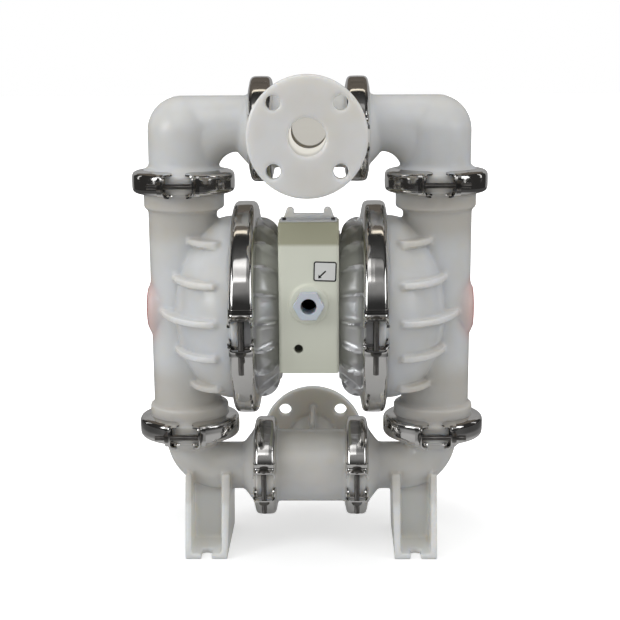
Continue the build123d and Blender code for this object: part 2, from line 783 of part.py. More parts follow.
# Air inlet bushing, gauge label and end discs
def air_inlet_bushing():
    face = -block_front_y - port_boss_height
    hexagon = RegularPolygon(hex_across_flats / 2, 6, major_radius=False)
    hexagon = Plane(origin=(0, face, air_port_z), x_dir=(1, 0, 0), z_dir=(0, -1, 0)) * hexagon
    body = extrude(hexagon, hex_height)
    body += rod_y(bushing_shank_radius, face, face + bushing_shank_length, 0, air_port_z)
    start = face - hex_height - over
    return body - rod_y(bushing_bore, start, face + bushing_shank_length + over, 0, air_port_z)


def label_plates():
    front = bar(label_x - label_width / 2, label_x + label_width / 2, -block_front_y - label_thickness,
                -block_front_y, label_z - label_height / 2, label_z + label_height / 2)
    disc = rod_x(disc_radius, boss_reach, boss_reach + label_thickness, 0, chamber_z)
    return [front, disc, mirrored(disc)]


# Air valve on the back of the block
def valve_screw_places():
    x = valve_half_width - valve_screw_inset
    up = valve_height / 2 - valve_screw_inset
    return [(side * x, air_way_z + level * up) for side in (-1, 1) for level in (-1, 1)]


def valve_plate(y0, y1):
    plate = bar(-valve_half_width, valve_half_width, y0, y1, air_way_z - valve_height / 2,
                air_way_z + valve_height / 2)
    for x, z in valve_screw_places():
        plate -= rod_y(valve_screw_radius + hole_clearance, y0 - over, y1 + over, x, z)
    return plate


def air_valve_gasket():
    end = block_front_y + gasket_thickness
    plate = valve_plate(block_front_y, end)
    return plate - rod_y(air_way_radius, block_front_y - over, end + over, 0, air_way_z)


def spool_y():
    return block_front_y + gasket_thickness + valve_depth / 2


def air_valve_body():
    start = block_front_y + gasket_thickness
    body = valve_plate(start, start + valve_depth)
    body -= rod_x(spool_radius, -valve_half_width - over, valve_half_width + over, spool_y(), air_way_z)
    return body - rod_y(air_way_radius, start - over, spool_y(), 0, air_way_z)


def air_valve_spool():
    radius = spool_radius - shaft_clearance
    spool = rod_x(spool_waist_radius, -spool_half_length, spool_half_length, spool_y(), air_way_z)
    for middle in (-spool_half_length + spool_land / 2, 0, spool_half_length - spool_land / 2):
        spool += rod_x(radius, middle - spool_land / 2, middle + spool_land / 2, spool_y(), air_way_z)
    return spool


def air_valve_end_cap():
    cap = rod_x(end_cap_radius, valve_half_width, valve_half_width + end_cap_thickness, spool_y(), air_way_z)
    stop = spool_half_length + spool_travel + seat_clearance
    return cap + rod_x(spool_radius - seat_clearance, stop, valve_half_width + over, spool_y(), air_way_z)


def air_valve_screws():
    top = block_front_y + gasket_thickness + valve_depth
    screws = []
    for x, z in valve_screw_places():
        shank = rod_y(valve_screw_radius, block_front_y - valve_screw_depth, top + over, x, z)
        screws.append(shank + rod_y(valve_screw_head_radius, top, top + valve_screw_head_height, x, z))
    return screws


def exhaust_muffler():
    groove = muffler_length / (2 * muffler_ring_count + 1)
    bore = muffler_thread_radius / 2
    floor = muffler_radius - muffler_ring_depth
    start = block_front_y - muffler_thread_length
    points = [(start, bore), (start, muffler_thread_radius), (block_front_y, muffler_thread_radius)]
    y = block_front_y
    for index in range(muffler_ring_count):
        step = y + groove
        points += [(y, muffler_radius), (step, muffler_radius), (step, floor), (step + groove, floor)]
        y = step + groove
    points += [(y, muffler_radius), (y + groove, muffler_radius), (y + groove, 0), (y, 0), (y, bore)]
    return turned_y(points, muffler_z)


# Cover on top of the block
def cover_screw_places():
    return [(side * cover_screw_x, cover_screw_inset + cover_inset - block_top_y) for side in (-1, 1)]


def top_cover():
    front = cover_inset - block_top_y
    back = front + cover_depth
    top = block_top_z + cover_thickness
    body = bar(-cover_half_width, cover_half_width, front, back, block_top_z, top)
    body += bar(-cover_leg_x, cover_leg_x, back - cover_leg_depth, back, top, top + cover_bar_height)
    for side in (-1, 1):
        inside = side * (cover_leg_x - cover_leg_width / 2)
        tip = top + cover_leg_height
        outline = Polyline(
            (inside, top), (inside + side * cover_leg_width, top),
            (inside + side * cover_leg_top, tip - cover_leg_round),
            (inside + side * (cover_leg_top - cover_leg_round), tip),
            (inside + side * cover_leg_round, tip), (inside, tip - cover_leg_round), close=True)
        leg = extrude(make_face(Plane.XZ * outline), cover_leg_depth / 2, both=True)
        body += Pos(0, back - cover_leg_depth / 2, 0) * leg
    for x, y in cover_screw_places():
        body -= rod_z(cover_screw_radius + hole_clearance, block_top_z - over, top + over, x, y)
    return body


def top_cover_screws():
    top = block_top_z + cover_thickness
    screws = []
    for x, y in cover_screw_places():
        head = rod_z(cover_head_radius, top, top + screw_head_height, x, y)
        screws.append(head + rod_z(cover_screw_radius, block_top_z - screw_depth, top + over, x, y))
    return screws


# Where the clamps sit
def chamber_clamp_place(side):
    return Pos(side * chamber_joint_x, 0, chamber_z) * Rot(chamber_clamp_turn, 0, 0)


def manifold_clamp_place(side, z):
    return Pos(side * manifold_joint_x, 0, z) * Rot(manifold_clamp_turn, 0, 0)


def riser_clamp_place(side, z):
    return Pos(side * riser_x, 0, z) * Rot(0, -90 * side, 0)


def save(name, shapes):
    group = shapes if isinstance(shapes, list) else [shapes]
    solids = [solid for shape in group for solid in shape.solids()]
    piece = solids[0] if len(solids) == 1 else Compound(solids)
    piece.label = name
    export_step(piece, f"parts/{name}.step")


def save_pair(name, piece):
    save(f"{name}_right", piece)
    save(f"{name}_left", mirrored(piece))


def both_sides(pieces):
    group = pieces if isinstance(pieces, list) else [pieces]
    return group + [mirrored(piece) for piece in group]


os.makedirs("parts", exist_ok=True)

# Liquid path
save_pair("liquid_chamber", liquid_chamber())
save_pair("discharge_elbow", discharge_elbow())
save_pair("inlet_elbow", inlet_elbow())
save("discharge_tee", manifold_tee(discharge_z, -1))
save("inlet_tee", manifold_tee(inlet_z, 1))
save_pair("inlet_ball", valve_ball(riser_x, lower_joint_z))
save_pair("discharge_ball", valve_ball(riser_x, upper_joint_z))
save_pair("inlet_seat", valve_seat(riser_x, lower_joint_z))
save_pair("discharge_seat", valve_seat(riser_x, upper_joint_z))
save("valve_seat_rings", both_sides([ring_z(riser_x, lower_joint_z), ring_z(riser_x, upper_joint_z)]))
save("manifold_rings", both_sides([side_ring(manifold_joint_x, z, 0) for z in (discharge_z, inlet_z)]))

# Clamps
chamber_bolts = []
chamber_nuts = []
riser_bolts = []
riser_nuts = []
manifold_bolts = []
manifold_nuts = []
for side, side_name in ((-1, "left"), (1, "right")):
    place = chamber_clamp_place(side)
    save(f"chamber_clamp_upper_{side_name}", place * clamp_half(chamber_clamp, 1))
    save(f"chamber_clamp_lower_{side_name}", place * clamp_half(chamber_clamp, -1))
    chamber_bolts += [place * clamp_bolt(chamber_clamp, end, chamber_bolt_tail) for end in (-1, 1)]
    chamber_nuts += [place * clamp_nut(chamber_clamp, end) for end in (-1, 1)]
    for z, level in ((upper_joint_z, "upper"), (lower_joint_z, "lower")):
        place = riser_clamp_place(side, z)
        save(f"riser_clamp_{level}_{side_name}", [place * clamp_half(pipe_clamp, way) for way in (1, -1)])
        riser_bolts += [place * clamp_bolt(pipe_clamp, end, pipe_bolt_tail) for end in (-1, 1)]
        riser_nuts += [place * clamp_nut(pipe_clamp, end) for end in (-1, 1)]
    for z, level in ((discharge_z, "discharge"), (inlet_z, "inlet")):
        place = manifold_clamp_place(side, z)
        save(f"{level}_clamp_{side_name}", [place * clamp_half(pipe_clamp, way) for way in (1, -1)])
        manifold_bolts += [place * clamp_bolt(pipe_clamp, end, pipe_bolt_tail) for end in (-1, 1)]
        manifold_nuts += [place * clamp_nut(pipe_clamp, end) for end in (-1, 1)]
save("chamber_clamp_bolts", chamber_bolts)
save("chamber_clamp_nuts", chamber_nuts)
save("riser_clamp_bolts", riser_bolts)
save("riser_clamp_nuts", riser_nuts)
save("manifold_clamp_bolts", manifold_bolts)
save("manifold_clamp_nuts", manifold_nuts)

# Air side
save_pair("air_chamber", air_chamber())
save("air_chamber_screws", both_sides(air_chamber_screws()))
save_pair("diaphragm", diaphragm())
save_pair("inner_piston", inner_piston())
save_pair("outer_piston", outer_piston())
save("shaft", rod_x(shaft_radius, -shaft_end(), shaft_end(), 0, chamber_z))
save("shaft_bushings", both_sides(shaft_bushing()))
save("shaft_seals", both_sides(shaft_seal()))
save("centre_block", centre_block())
save("air_inlet_bushing", air_inlet_bushing())
save("label_plates", label_plates())
save("air_valve_gasket", air_valve_gasket())
save("air_valve_body", air_valve_body())
save("air_valve_spool", air_valve_spool())
save("air_valve_end_caps", both_sides(air_valve_end_cap()))
save("air_valve_screws", air_valve_screws())
save("pilot_spool", pilot_spool())
save("exhaust_muffler", exhaust_muffler())
save("top_cover", top_cover())
save("top_cover_screws", top_cover_screws())
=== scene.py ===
import bmesh
import bpy
import json
import math
from mathutils import Matrix, Vector


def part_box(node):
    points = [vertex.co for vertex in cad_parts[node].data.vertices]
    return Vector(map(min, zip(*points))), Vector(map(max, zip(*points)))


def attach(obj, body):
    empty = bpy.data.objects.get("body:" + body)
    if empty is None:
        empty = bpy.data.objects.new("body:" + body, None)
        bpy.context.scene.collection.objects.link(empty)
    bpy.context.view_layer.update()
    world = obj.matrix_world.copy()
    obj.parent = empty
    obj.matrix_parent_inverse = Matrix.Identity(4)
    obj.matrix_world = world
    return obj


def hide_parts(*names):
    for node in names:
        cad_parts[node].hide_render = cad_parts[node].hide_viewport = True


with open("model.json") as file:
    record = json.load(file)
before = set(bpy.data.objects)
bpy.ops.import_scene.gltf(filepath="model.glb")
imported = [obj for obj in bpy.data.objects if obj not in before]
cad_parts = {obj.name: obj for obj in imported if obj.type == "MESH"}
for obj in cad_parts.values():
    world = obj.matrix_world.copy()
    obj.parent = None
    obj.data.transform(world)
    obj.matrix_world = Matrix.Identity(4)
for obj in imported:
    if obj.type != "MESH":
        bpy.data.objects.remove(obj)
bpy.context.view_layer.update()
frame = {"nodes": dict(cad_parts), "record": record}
nodes = frame["nodes"]

# The camera stands nearly two metres in front of the pump and a little above it.
# The picture is 620 pixels square, and its centre lies above the line of sight.
photo_size = 620
focal_pixels = 1401.63
sight_line_drop = 72.945
sensor_width = 36
camera_place = Vector((0.03771, -1.94186, 0.72407))
camera_pitch = 0.244718
camera_yaw = -0.0200676
camera_roll = -0.0065717
forward = Vector((
    math.sin(camera_yaw) * math.cos(camera_pitch),
    math.cos(camera_yaw) * math.cos(camera_pitch),
    -math.sin(camera_pitch),
))
level_right = Vector((math.cos(camera_yaw), -math.sin(camera_yaw), 0))
level_up = level_right.cross(forward)
camera_right = level_right * math.cos(camera_roll) + level_up * math.sin(camera_roll)
camera_up = level_up * math.cos(camera_roll) - level_right * math.sin(camera_roll)
camera_data = bpy.data.cameras.new("camera")
camera_data.sensor_width = sensor_width
camera_data.lens = focal_pixels / photo_size * sensor_width
camera_data.shift_y = sight_line_drop / photo_size
camera = bpy.data.objects.new("camera", camera_data)
camera.matrix_world = Matrix((camera_right, camera_up, -forward)).transposed().to_4x4()
camera.location = camera_place
bpy.context.scene.collection.objects.link(camera)
bpy.context.scene.camera = camera
bpy.context.scene.view_settings.view_transform = "Standard"

# Studio: a white table and a white surround, a soft box over the pump and one at each side.
# A tent of cards stands round it, dark with bright strips, and only gloss and polished metal pick it up.
surround_strength = 0.60
table_colour = (0.86, 0.86, 0.86, 1)
table_shade = (0.02, 0.02, 0.02, 1)
table_glow = 0.06
table_reach = 30
seen_glow = 0.46
white_from = 0.24
white_full = 0.50
mirror_bright = 0.45
mirror_dark = 0.95
mirror_shade = 0.35
bounce_shade = 0.45


def feed(tree, socket, value):
    """Links a node's output to the socket, or sets a plain value on it."""
    if isinstance(value, bpy.types.NodeSocket):
        tree.links.new(value, socket)
    else:
        socket.default_value = value


def add_node(tree, kind, settings=None, inputs=None):
    node = tree.nodes.new(kind)
    for name, value in (settings or {}).items():
        setattr(node, name, value)
    for name, value in (inputs or {}).items():
        feed(tree, node.inputs[name], value)
    return node


def calculate(tree, operation, *terms):
    node = add_node(tree, "ShaderNodeMath", {"operation": operation})
    for socket, term in zip(node.inputs, terms):
        feed(tree, socket, term)
    return node.outputs[0]


def graded(tree, value, start, end, low=0.0, high=1.0, kind="SMOOTHSTEP"):
    """Goes from low to high while the value goes from start to end."""
    node = add_node(tree, "ShaderNodeMapRange", {"interpolation_type": kind},
                    {"Value": value, "From Min": start, "From Max": end, "To Min": low, "To Max": high})
    return node.outputs["Result"]


def blend(tree, factor, first, second):
    node = add_node(tree, "ShaderNodeMix", {"data_type": "RGBA"}, {"Factor": factor, "A": first, "B": second})
    return node.outputs["Result"]


def off_line(tree, place, across, line):
    """How far a place is from a line, measured along the directions across it."""
    flattened = add_node(tree, "ShaderNodeVectorMath", {"operation": "MULTIPLY"})
    feed(tree, flattened.inputs[0], place)
    feed(tree, flattened.inputs[1], across)
    apart = add_node(tree, "ShaderNodeVectorMath", {"operation": "DISTANCE"})
    feed(tree, apart.inputs[0], flattened.outputs[0])
    feed(tree, apart.inputs[1], line)
    return apart.outputs["Value"]


def new_material(name):
    material = bpy.data.materials.new(name)
    material.use_nodes = True
    tree = material.node_tree
    return material, tree, tree.nodes["Principled BSDF"]


def flat_card(name, centre, facing, width, height):
    mesh = bpy.data.meshes.new(name)
    corners = [(-width / 2, -height / 2, 0), (width / 2, -height / 2, 0),
               (width / 2, height / 2, 0), (-width / 2, height / 2, 0)]
    mesh.from_pydata(corners, [], [(0, 1, 2, 3)])
    card = bpy.data.objects.new(name, mesh)
    card.location = centre
    card.rotation_mode = "QUATERNION"
    card.rotation_quaternion = Vector(facing).to_track_quat("Z", "Y")
    bpy.context.scene.collection.objects.link(card)
    return card


world = bpy.data.worlds.new("surround")
world.use_nodes = True
bpy.context.scene.world = world
tree = world.node_tree
background = tree.nodes["Background"]
background.inputs["Color"].default_value = (1, 1, 1, 1)
ray = add_node(tree, "ShaderNodeLightPath").outputs
seen = calculate(tree, "MAXIMUM", ray["Is Camera Ray"], ray["Is Glossy Ray"])
seen = calculate(tree, "MAXIMUM", seen, ray["Is Transmission Ray"])
feed(tree, background.inputs["Strength"], graded(tree, seen, 0, 1, surround_strength, 1.0, "LINEAR"))

# The table looks white away from the pump, and keeps the pump's shadow near it
table = flat_card("table", (0, 0, 0), (0, 0, 1), table_reach, table_reach)
material, tree, shader = new_material("table")
shader.inputs["Roughness"].default_value = 0.6
shader.inputs["Specular IOR Level"].default_value = 0.1
shader.inputs["Emission Color"].default_value = (1, 1, 1, 1)
ray = add_node(tree, "ShaderNodeLightPath").outputs
place = add_node(tree, "ShaderNodeTexCoord").outputs["Object"]
reach = off_line(tree, place, (1, 1, 1), (0, 0, 0))
white = graded(tree, reach, white_from, white_full, seen_glow, 1.0)
glow = add_node(tree, "ShaderNodeMix", None, {"Factor": ray["Is Camera Ray"], "A": table_glow, "B": white})
far = graded(tree, reach, mirror_bright, mirror_dark, mirror_shade, 1.0)
mirrored = calculate(tree, "MULTIPLY", far, ray["Is Glossy Ray"])
bounced = calculate(tree, "MULTIPLY", ray["Is Diffuse Ray"], bounce_shade)
shade = calculate(tree, "MAXIMUM", mirrored, bounced)
feed(tree, shader.inputs["Base Color"], blend(tree, shade, table_colour, table_shade))
feed(tree, shader.inputs["Emission Strength"], glow.outputs["Result"])
table.data.materials.append(material)

# Each band of the tent lies between two heights in degrees, counted from the front over the top to the back.
# Its left and right edge and its tint follow, then its brightness at shares of its height, from below.
tent_centre = Vector((0, 0, 0.38))
tent_reach = 2.6
tent_nearer = 0.1
tent_half_width = 2.4
whole = (-tent_half_width, tent_half_width)
plain = (1, 1, 1, 1)
brown = (1.0, 0.88, 0.76, 1)
amber = (1.0, 0.92, 0.78, 1)
tent_bands = (
    ("dark_front", -12, 14, whole, plain, ((0, 0.020), (1, 0.040))),
    ("dusk_front", 14, 37, whole, plain, ((0, 0.040), (0.3, 0.14), (0.5, 0.28), (1, 0.36))),
    ("bright_left", 36, 61, (-1.3, 0.0), plain,
     ((0, 1.6), (0.1, 1.9), (0.3, 0.85), (0.5, 0.95), (0.75, 1.5), (1, 0.4))),
    ("bright_right", 36, 61, (0.0, 1.3), plain,
     ((0, 0.5), (0.1, 0.45), (0.3, 0.22), (0.5, 0.22), (0.75, 0.45), (1, 0.15))),
    ("dim_front", 36, 63, whole, plain, ((0, 0.06), (1, 0.05))),
    ("dark_over", 61, 92, whole, plain, ((0, 0.15), (0.4, 0.07), (0.8, 0.035), (1, 0.04))),
    ("strip_over", 92, 97, (-1.1, 1.1), amber, ((0, 0.9), (0.5, 1.6), (1, 0.8))),
    ("brown_over", 91, 125, whole, brown, ((0, 0.12), (0.5, 0.16), (1, 0.13))),
    ("brown_back", 125, 152, whole, brown, ((0, 0.13), (1, 0.17))),
    ("grey_back", 152, 196, whole, plain, ((0, 0.25), (1, 0.45))),
)
patch_dim = 0.75
patch_bright = 1.25
patch_scale = 3.0
wall_size = 5.6
wall_colour = (0.035, 0.034, 0.033, 1)
strip_glow = 1.3
strip_inset = 0.2
side_strips = ((-1.0, 1.15, 0.35, 1.5), (0.9, 1.0, 0.2, 1.2))


def glow_material(name, colour, strength=1.0):
    material, tree, shader = new_material(name)
    tree.nodes.clear()
    glow = add_node(tree, "ShaderNodeEmission", None, {"Color": colour, "Strength": strength})
    add_node(tree, "ShaderNodeOutputMaterial", None, {"Surface": glow.outputs[0]})
    return material, tree, glow


def graded_glow(name, tint, height, steps):
    """A glow that changes up the card, and is a little uneven, as a soft box is."""
    material, tree, glow = glow_material(name, tint)
    brightest = max(strength for _, strength in steps)
    place = add_node(tree, "ShaderNodeTexCoord").outputs["Object"]
    upwards = add_node(tree, "ShaderNodeSeparateXYZ", None, {"Vector": place}).outputs["Y"]
    share = graded(tree, upwards, -height / 2, height / 2, kind="LINEAR")
    grades = add_node(tree, "ShaderNodeFloatCurve", None, {"Value": share})
    curve = grades.mapping.curves[0]
    for index, (at, strength) in enumerate(steps):
        if index in (0, len(steps) - 1):
            curve.points[0 if index == 0 else -1].location = (at, strength / brightest)
        else:
            curve.points.new(at, strength / brightest)
    grades.mapping.update()
    patches = add_node(tree, "ShaderNodeTexNoise", None,
                       {"Vector": place, "Scale": patch_scale, "Detail": 2.0})
    uneven = graded(tree, patches.outputs["Fac"], 0, 1,
                    patch_dim * brightest, patch_bright * brightest, "LINEAR")
    feed(tree, glow.inputs["Strength"], calculate(tree, "MULTIPLY", grades.outputs["Value"], uneven))
    return material


def mirror_card(name, centre, facing, width, height, material):
    """A card that only gloss and polished metal pick up."""
    card = flat_card(name, centre, facing, width, height)
    card.data.materials.append(material)
    card.visible_camera = False
    card.visible_diffuse = False
    card.visible_transmission = False
    card.visible_shadow = False
    card.visible_volume_scatter = False


for name, low, high, (left, right), tint, steps in tent_bands:
    middle = math.radians((low + high) / 2)
    height = 2 * tent_reach * math.tan(math.radians((high - low) / 2))
    toward = Vector((0, -math.cos(middle), math.sin(middle)))
    nearer = tent_nearer if name.startswith(("bright", "strip")) else 0
    centre = tent_centre + toward * (tent_reach - nearer) + Vector(((left + right) / 2, 0, 0))
    mirror_card(name, centre, -toward, right - left, height, graded_glow(name, tint, height, steps))
for side, way in (("left", -1), ("right", 1)):
    name = f"dark_wall_{side}"
    centre = tent_centre + Vector((way * tent_half_width, 0, 0))
    mirror_card(name, centre, (-way, 0, 0), wall_size, wall_size, glow_material(name, wall_colour)[0])
    for number, (y, z, width, height) in enumerate(side_strips):
        name = f"side_strip_{side}_{number}"
        centre = Vector((way * (tent_half_width - strip_inset), y, z))
        strip_light = glow_material(name, plain, strip_glow)[0]
        mirror_card(name, centre, tent_centre - centre, width, height, strip_light)

# The soft box over the pump isn't mirrored, because the tent's cards stand in for it
soft_boxes = (
    ("box_over", (-0.2, -0.7, 2.0), (0.1, 0.35, -1), 1.6, 6.0, (1.0, 1.0, 1.0)),
    ("box_left", (-1.7, -1.2, 1.1), (1, 0.7, -0.35), 0.9, 11.0, (0.96, 0.98, 1.0)),
    ("box_right", (1.7, -0.9, 1.1), (-1, 0.5, -0.35), 0.9, 4.5, (0.96, 0.98, 1.0)),
)
for name, centre, facing, size, power, colour in soft_boxes:
    lamp = bpy.data.lights.new(name, "AREA")
    lamp.size = size
    lamp.energy = power
    lamp.color = colour
    lamp_object = bpy.data.objects.new(name, lamp)
    lamp_object.location = centre
    lamp_object.visible_glossy = name != "box_over"
    lamp_object.rotation_mode = "QUATERNION"
    lamp_object.rotation_quaternion = (-Vector(facing)).to_track_quat("Z", "Y")
    bpy.context.scene.collection.objects.link(lamp_object)

# Liquid chambers, elbows and manifold tees: moulded in natural plastic, milky and a little see-through.
# Every edge is rounded as it comes out of the mould, and the walls show faint lines of flow.
moulding_voxel = 0.0022
moulding_rounds = 5
milky_colour = (0.755, 0.755, 0.752, 1)
warm_colour = (0.725, 0.710, 0.675, 1)
cloud_range = (0.38, 0.62)
thick_and_shade_colour = (0.47, 0.43, 0.365, 1)
thick_and_shade_share = 0.45
joint_heights = (0.2255, 0.4885)
thick_and_shade_fade = (0.060, 0.020)
riser_inner_side = (0.120, 0.140)
inlet_shade_share = 0.26
inlet_bottom = (0.085, 0.110)
inlet_top = (0.215, 0.190)
foot_glow_colour = (0.90, 0.90, 0.87, 1)
foot_glow_share = 0.9
foot_bottom = (-0.002, 0.001)
foot_top = (0.085, 0.070)
rear_flange_front = (0.140, 0.150)
blush_colour = (0.80, 0.46, 0.42, 1)
blush_ends = (0.196, 0.236)
blush_fade = (0.060, 0.030)
boss_height = 0.350
port_height = 0.597
port_rim = (0.0255, 0.0243)
port_depth = (-0.155, -0.100)
port_glow_shallow = 0.12
port_glow_colour = (0.50, 0.485, 0.445, 1)
port_glow_base = (0.14, 0.135, 0.12, 1)


def value_group(name, inputs, outputs):
    group = bpy.data.node_groups.new(name, "ShaderNodeTree")
    for socket_name, kind, value in inputs:
        socket = group.interface.new_socket(socket_name, in_out="INPUT", socket_type=kind)
        socket.default_value = value
    for socket_name, kind in outputs:
        group.interface.new_socket(socket_name, in_out="OUTPUT", socket_type=kind)
    start = add_node(group, "NodeGroupInput")
    end = add_node(group, "NodeGroupOutput")
    return group, start, end


# Cloudiness of moulded plastic: large soft clouds, and level bands where the melt flowed
cloud_group, start, end = value_group(
    "moulding_clouds",
    [("Scale", "NodeSocketFloat", 14.0), ("Band Scale", "NodeSocketFloat", 120.0)],
    [("Clouds", "NodeSocketFloat"), ("Height", "NodeSocketFloat")],
)
place = add_node(cloud_group, "ShaderNodeTexCoord").outputs["Object"]
clouds = add_node(cloud_group, "ShaderNodeTexNoise", None,
                  {"Vector": place, "Scale": start.outputs["Scale"], "Detail": 3.0, "Roughness": 0.5})
stretch = add_node(cloud_group, "ShaderNodeMapping", None, {"Vector": place, "Scale": (0.12, 0.12, 1.0)})
bands = add_node(cloud_group, "ShaderNodeTexNoise", None,
                 {"Vector": stretch.outputs["Vector"], "Scale": start.outputs["Band Scale"],
                  "Detail": 2.0, "Roughness": 0.5})
feed(cloud_group, end.inputs["Clouds"], clouds.outputs["Fac"])
feed(cloud_group, end.inputs["Height"], bands.outputs["Fac"])


def bumped(tree, shader, height, strength, depth):
    bump = add_node(tree, "ShaderNodeBump", None, {"Strength": strength, "Distance": depth, "Height": height})
    feed(tree, shader.inputs["Normal"], bump.outputs["Normal"])


natural_plastic, tree, shader = new_material("natural_plastic")
shader.inputs["Subsurface Weight"].default_value = 0.85
shader.inputs["Subsurface Radius"].default_value = (1.0, 0.88, 0.72)
shader.inputs["Subsurface Scale"].default_value = 0.022
shader.inputs["Roughness"].default_value = 0.22
shader.inputs["IOR"].default_value = 1.49
shader.inputs["Emission Strength"].default_value = 1.0
effect = add_node(tree, "ShaderNodeGroup", {"node_tree": cloud_group}).outputs
place = add_node(tree, "ShaderNodeTexCoord").outputs["Object"]
part = add_node(tree, "ShaderNodeSeparateXYZ", None, {"Vector": place}).outputs
outward = calculate(tree, "ABSOLUTE", part["X"])
tone = blend(tree, graded(tree, effect["Clouds"], *cloud_range, kind="LINEAR"), milky_colour, warm_colour)

# Painted shade darkens the plastic beside the riser clamps, together with the deeper tone where the risers'
# collars double the wall
for joint_height in joint_heights:
    apart = calculate(tree, "ABSOLUTE", calculate(tree, "SUBTRACT", part["Z"], joint_height))
    near = graded(tree, apart, *thick_and_shade_fade, 0, thick_and_shade_share)
    beside = graded(tree, outward, *riser_inner_side)
    tone = blend(tree, calculate(tree, "MULTIPLY", near, beside), tone, thick_and_shade_colour)

# Painted shade darkens the low inlet manifold too, and painted light makes the feet paler, as if lit through
# their thin walls; the rear flange takes the same pale colour
for colour, share, bottom, top in ((thick_and_shade_colour, inlet_shade_share, inlet_bottom, inlet_top),
                                   (foot_glow_colour, foot_glow_share, foot_bottom, foot_top)):
    over = graded(tree, part["Z"], *bottom, 0, share)
    under = graded(tree, part["Z"], *top)
    tone = blend(tree, calculate(tree, "MULTIPLY", over, under), tone, colour)
tone = blend(tree, graded(tree, part["Y"], *rear_flange_front), tone, foot_glow_colour)

# The red discs shine through the end bosses, and the inside of the discharge port glows with painted light,
# an emission over a darkened base colour that stands in for light through its wall
blush_end = graded(tree, outward, *blush_ends)
blush_round = graded(tree, off_line(tree, place, (0, 1, 1), (0, 0, boss_height)), *blush_fade)
tone = blend(tree, calculate(tree, "MULTIPLY", blush_end, blush_round), tone, blush_colour)
in_port = graded(tree, off_line(tree, place, (1, 0, 1), (0, 0, port_height)), *port_rim)
deep = graded(tree, part["Y"], *port_depth, port_glow_shallow, 1.0)
lit = calculate(tree, "MULTIPLY", in_port, deep)
feed(tree, shader.inputs["Base Color"], blend(tree, lit, tone, port_glow_base))
feed(tree, shader.inputs["Emission Color"], blend(tree, lit, (0, 0, 0, 1), port_glow_colour))
bumped(tree, shader, effect["Height"], strength=0.25, depth=0.0006)


def add_piece(name, mesh):
    piece = bpy.data.objects.new(name, mesh)
    bpy.context.scene.collection.objects.link(piece)
    return piece


def settle(piece):
    """Turns what the modifiers make of a piece into its own plain mesh."""
    graph = bpy.context.evaluated_depsgraph_get()
    mesh = bpy.data.meshes.new_from_object(piece.evaluated_get(graph))
    mesh.name = piece.name
    piece.modifiers.clear()
    piece.data = mesh


def merged_copy(node):
    mesh = nodes[node].data.copy()
    mesh.materials.clear()
    work = bmesh.new()
    work.from_mesh(mesh)
    bmesh.ops.remove_doubles(work, verts=work.verts, dist=1e-6)
    work.to_mesh(mesh)
    work.free()
    return mesh


def rounded_copy(node, voxel, rounds):
    piece = add_piece(node + "_moulded", merged_copy(node))
    remesh = piece.modifiers.new("even", "REMESH")
    remesh.mode = "VOXEL"
    remesh.voxel_size = voxel
    smooth = piece.modifiers.new("round", "SMOOTH")
    smooth.factor = 0.5
    smooth.iterations = rounds
    settle(piece)
    piece.data.shade_smooth()
    return piece


for node in ("liquid_chamber_left", "liquid_chamber_right", "discharge_elbow_left", "discharge_elbow_right",
             "inlet_elbow_left", "inlet_elbow_right", "discharge_tee", "inlet_tee"):
    piece = rounded_copy(node, moulding_voxel, moulding_rounds)
    piece.data.materials.append(natural_plastic)
    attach(piece, "housing")
    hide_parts(node)

# Air chambers: cast in aluminium, with ribs round the cone and a matt, finely pitted skin.
# They are bolted to the centre block from inside, so no screw shows.
casting_crease = math.radians(28)

pit_group, start, end = value_group(
    "cast_skin",
    [("Scale", "NodeSocketFloat", 900.0)],
    [("Shade", "NodeSocketFloat"), ("Height", "NodeSocketFloat")],
)
place = add_node(pit_group, "ShaderNodeTexCoord").outputs["Object"]
pits = add_node(pit_group, "ShaderNodeTexNoise", None,
                {"Vector": place, "Scale": start.outputs["Scale"], "Detail": 4.0, "Roughness": 0.6})
stains = add_node(pit_group, "ShaderNodeTexNoise", None, {"Vector": place, "Scale": 30.0, "Detail": 4.0})
feed(pit_group, end.inputs["Shade"], stains.outputs["Fac"])
feed(pit_group, end.inputs["Height"], pits.outputs["Fac"])


def stained(tree, shader, shade, dark, light, smoothest, roughest):
    """Varies the colour and the roughness together."""
    feed(tree, shader.inputs["Base Color"], blend(tree, shade, dark, light))
    feed(tree, shader.inputs["Roughness"], graded(tree, shade, 0, 1, smoothest, roughest, "LINEAR"))


cast_aluminium, tree, shader = new_material("cast_aluminium")
shader.inputs["Metallic"].default_value = 0.90
effect = add_node(tree, "ShaderNodeGroup", {"node_tree": pit_group}).outputs
stained(tree, shader, effect["Shade"], (0.66, 0.66, 0.67, 1), (0.80, 0.80, 0.81, 1),
        smoothest=0.28, roughest=0.44)
bumped(tree, shader, effect["Height"], strength=0.35, depth=0.0004)

for node in ("air_chamber_left", "air_chamber_right"):
    piece = add_piece(node + "_cast", merged_copy(node))
    piece.data.shade_smooth()
    piece.data.set_sharp_from_angle(angle=casting_crease)
    piece.data.materials.append(cast_aluminium)
    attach(piece, "housing")
    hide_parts(node)

# Band clamps: channels pressed from stainless sheet and polished, in two halves each.
# The flanks run on past the bolting plates and end in round ears.
chamber_clamp = dict(radius=0.1486, depth=0.020, crown=0.015, mouth=0.0185, sheet=0.0021, corner=0.007,
                     bend=0.0085, turn=math.radians(2.9), steps=72)
pipe_clamp = dict(radius=0.0709, depth=0.015, crown=0.0135, mouth=0.0167, sheet=0.0019, corner=0.006,
                  bend=0.0055, turn=math.radians(4.8), steps=44)
plate_gap = 0.018
ear_gap = 0.009
foot_lift = 0.006
foot_from = 0.6
bolt_offset = 0.0072
plate_past_bolt = 0.0075
plate_overlap = 0.003
plate_side_gap = 0.0004
plate_lip = 0.0025
plate_corner = 0.0022
knee_drop = 0.0004
crown_inset = 0.0003
clamp_crease = math.radians(50)

